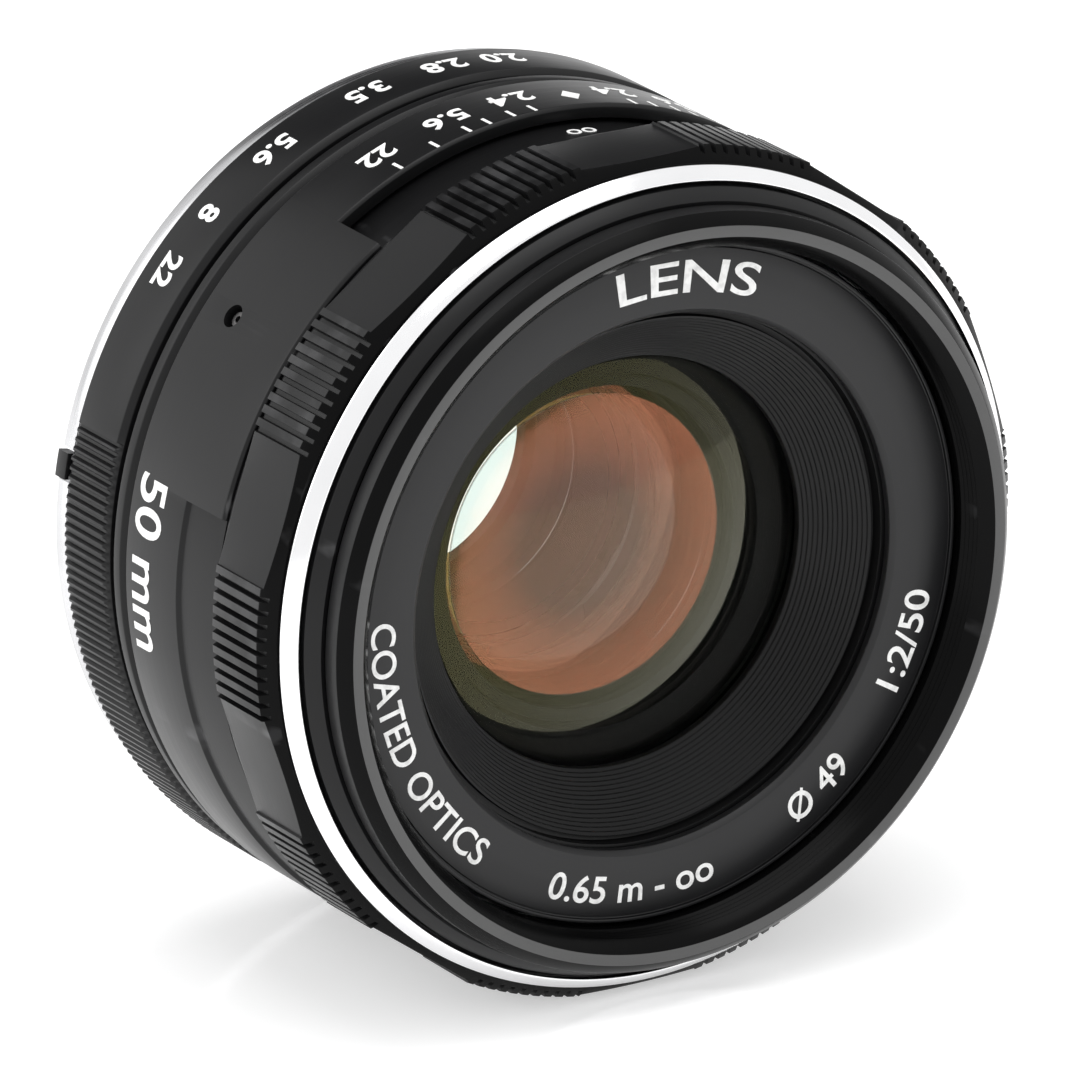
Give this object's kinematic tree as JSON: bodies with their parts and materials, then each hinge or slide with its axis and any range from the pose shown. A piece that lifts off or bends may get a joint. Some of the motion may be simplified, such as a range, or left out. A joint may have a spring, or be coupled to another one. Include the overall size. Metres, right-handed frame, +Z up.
{
  "type": "prime camera lens",
  "caption": "Manual prime lens with knurled and scalloped focus ring, aperture ring, coated glass in a sliding barrel and a chrome bayonet mount.",
  "frame": {"origin": "on the surface the lens lies on, under the middle of its box", "axes": "+Z up, -Y along the optical axis towards the front glass, +X to the right seen from the front"},
  "size_m": [0.0606, 0.0384, 0.0598],
  "materials": {
    "black_anodised": "satin black anodised aluminium, fine bead-blasted grain, white painted marks",
    "name_ring_black": null,
    "flat_black": "flat black anti-reflection paint with fine ridges",
    "chrome": "bright polished chrome plating",
    "brass": "machined brass, thin grease film",
    "steel": "machined steel",
    "blade_steel": "blued spring steel, matt black",
    "inner_alloy": "machined aluminium",
    "coated_glass": "polished optical glass, amber and green multi-layer coating"
  },
  "bodies": {
    "barrel": {"main_barrel": "black_anodised", "trim_ring": "black_anodised", "rear_housing": "inner_alloy", "mount_flange": "chrome", "mount_index_tab": "black_anodised", "rear_baffle": "flat_black", "guide_key_1": "brass", "guide_key_2": "brass", "click_spring": "steel", "mount_screw_1": "steel", "mount_screw_2": "steel", "mount_screw_3": "steel", "mount_screw_4": "steel", "barrel_screw_1": "steel", "barrel_screw_2": "steel", "barrel_screw_3": "steel", "grub_screw_1": "steel", "grub_screw_2": "steel", "grub_screw_3": "steel"},
    "focus_ring": {"focus_ring": "black_anodised", "focus_helicoid": "brass", "focus_stop_pin": "steel"},
    "optical_unit": {"inner_barrel": "inner_alloy", "filter_ring": "black_anodised", "chrome_trim_ring": "chrome", "name_ring": "name_ring_black", "front_baffle": "flat_black", "front_cell": "flat_black", "second_element_ring": "flat_black", "rear_cell": "flat_black", "rear_retaining_ring": "flat_black", "iris_housing": "flat_black", "iris_cover": "flat_black", "front_element": "coated_glass", "second_element": "coated_glass", "third_element": "coated_glass", "fourth_element": "coated_glass", "fifth_element": "coated_glass", "rear_element": "coated_glass", "cell_screw_1": "steel", "cell_screw_2": "steel", "cell_screw_3": "steel", "iris_screw_1": "steel", "iris_screw_2": "steel", "iris_screw_3": "steel"},
    "aperture_ring": {"aperture_ring": "black_anodised", "aperture_lever": "steel"},
    "iris_cam": {"iris_cam_ring": "brass"},
    "click_ball": {"click_ball": "steel"},
    "blade_1": {"aperture_blade_1": "blade_steel"},
    "blade_2": {"aperture_blade_2": "blade_steel"},
    "blade_3": {"aperture_blade_3": "blade_steel"},
    "blade_4": {"aperture_blade_4": "blade_steel"},
    "blade_5": {"aperture_blade_5": "blade_steel"},
    "blade_6": {"aperture_blade_6": "blade_steel"},
    "blade_7": {"aperture_blade_7": "blade_steel"},
    "blade_8": {"aperture_blade_8": "blade_steel"}
  },
  "joints": [
    {"name": "focus_turn", "type": "hinge", "parent": "barrel", "child": "focus_ring", "pos_m": [0, -0.0108, 0.02993], "axis": [0, -1, 0], "range_deg": [0, 120]},
    {"name": "focus_slide", "type": "slide", "parent": "barrel", "child": "optical_unit", "axis": [0, -1, 0], "range_m": [0, 0.0045]},
    {"name": "aperture_turn", "type": "hinge", "parent": "barrel", "child": "aperture_ring", "pos_m": [0, 0.01, 0.02993], "axis": [0, -1, 0], "range_deg": [-57, 0]},
    {"name": "iris_cam_turn", "type": "hinge", "parent": "optical_unit", "child": "iris_cam", "pos_m": [0, 0.001, 0.02993], "axis": [0, -1, 0], "range_deg": [-57, 0]},
    {"name": "click_ball_rise", "type": "slide", "parent": "barrel", "child": "click_ball", "axis": [-0.9178, 0, -0.3971], "range_m": [0, 0.0002], "stiffness_N_per_m": 50},
    {"name": "blade_1_swing", "type": "hinge", "parent": "optical_unit", "child": "blade_1", "pos_m": [0.00168, 0.0032, 0.04443], "axis": [0, -1, 0], "range_deg": [0, 38]},
    {"name": "blade_2_swing", "type": "hinge", "parent": "optical_unit", "child": "blade_2", "pos_m": [-0.00907, 0.0032, 0.04137], "axis": [0, -1, 0], "range_deg": [0, 38]},
    {"name": "blade_3_swing", "type": "hinge", "parent": "optical_unit", "child": "blade_3", "pos_m": [-0.0145, 0.0032, 0.03161], "axis": [0, -1, 0], "range_deg": [0, 38]},
    {"name": "blade_4_swing", "type": "hinge", "parent": "optical_unit", "child": "blade_4", "pos_m": [-0.01144, 0.0032, 0.02086], "axis": [0, -1, 0], "range_deg": [0, 38]},
    {"name": "blade_5_swing", "type": "hinge", "parent": "optical_unit", "child": "blade_5", "pos_m": [-0.00168, 0.0032, 0.01542], "axis": [0, -1, 0], "range_deg": [0, 38]},
    {"name": "blade_6_swing", "type": "hinge", "parent": "optical_unit", "child": "blade_6", "pos_m": [0.00907, 0.0032, 0.01849], "axis": [0, -1, 0], "range_deg": [0, 38]},
    {"name": "blade_7_swing", "type": "hinge", "parent": "optical_unit", "child": "blade_7", "pos_m": [0.0145, 0.0032, 0.02825], "axis": [0, -1, 0], "range_deg": [0, 38]},
    {"name": "blade_8_swing", "type": "hinge", "parent": "optical_unit", "child": "blade_8", "pos_m": [0.01144, 0.0032, 0.039], "axis": [0, -1, 0], "range_deg": [0, 38]}
  ],
  "couplings": [
    {"joint": "focus_slide", "follows": "focus_turn", "m_per_rad": 0.0021486},
    {"joint": "iris_cam_turn", "follows": "aperture_turn", "ratio": 1},
    {"joint": "blade_1_swing", "follows": "aperture_turn", "ratio": -0.66667},
    {"joint": "blade_2_swing", "follows": "aperture_turn", "ratio": -0.66667},
    {"joint": "blade_3_swing", "follows": "aperture_turn", "ratio": -0.66667},
    {"joint": "blade_4_swing", "follows": "aperture_turn", "ratio": -0.66667},
    {"joint": "blade_5_swing", "follows": "aperture_turn", "ratio": -0.66667},
    {"joint": "blade_6_swing", "follows": "aperture_turn", "ratio": -0.66667},
    {"joint": "blade_7_swing", "follows": "aperture_turn", "ratio": -0.66667},
    {"joint": "blade_8_swing", "follows": "aperture_turn", "ratio": -0.66667}
  ]
}
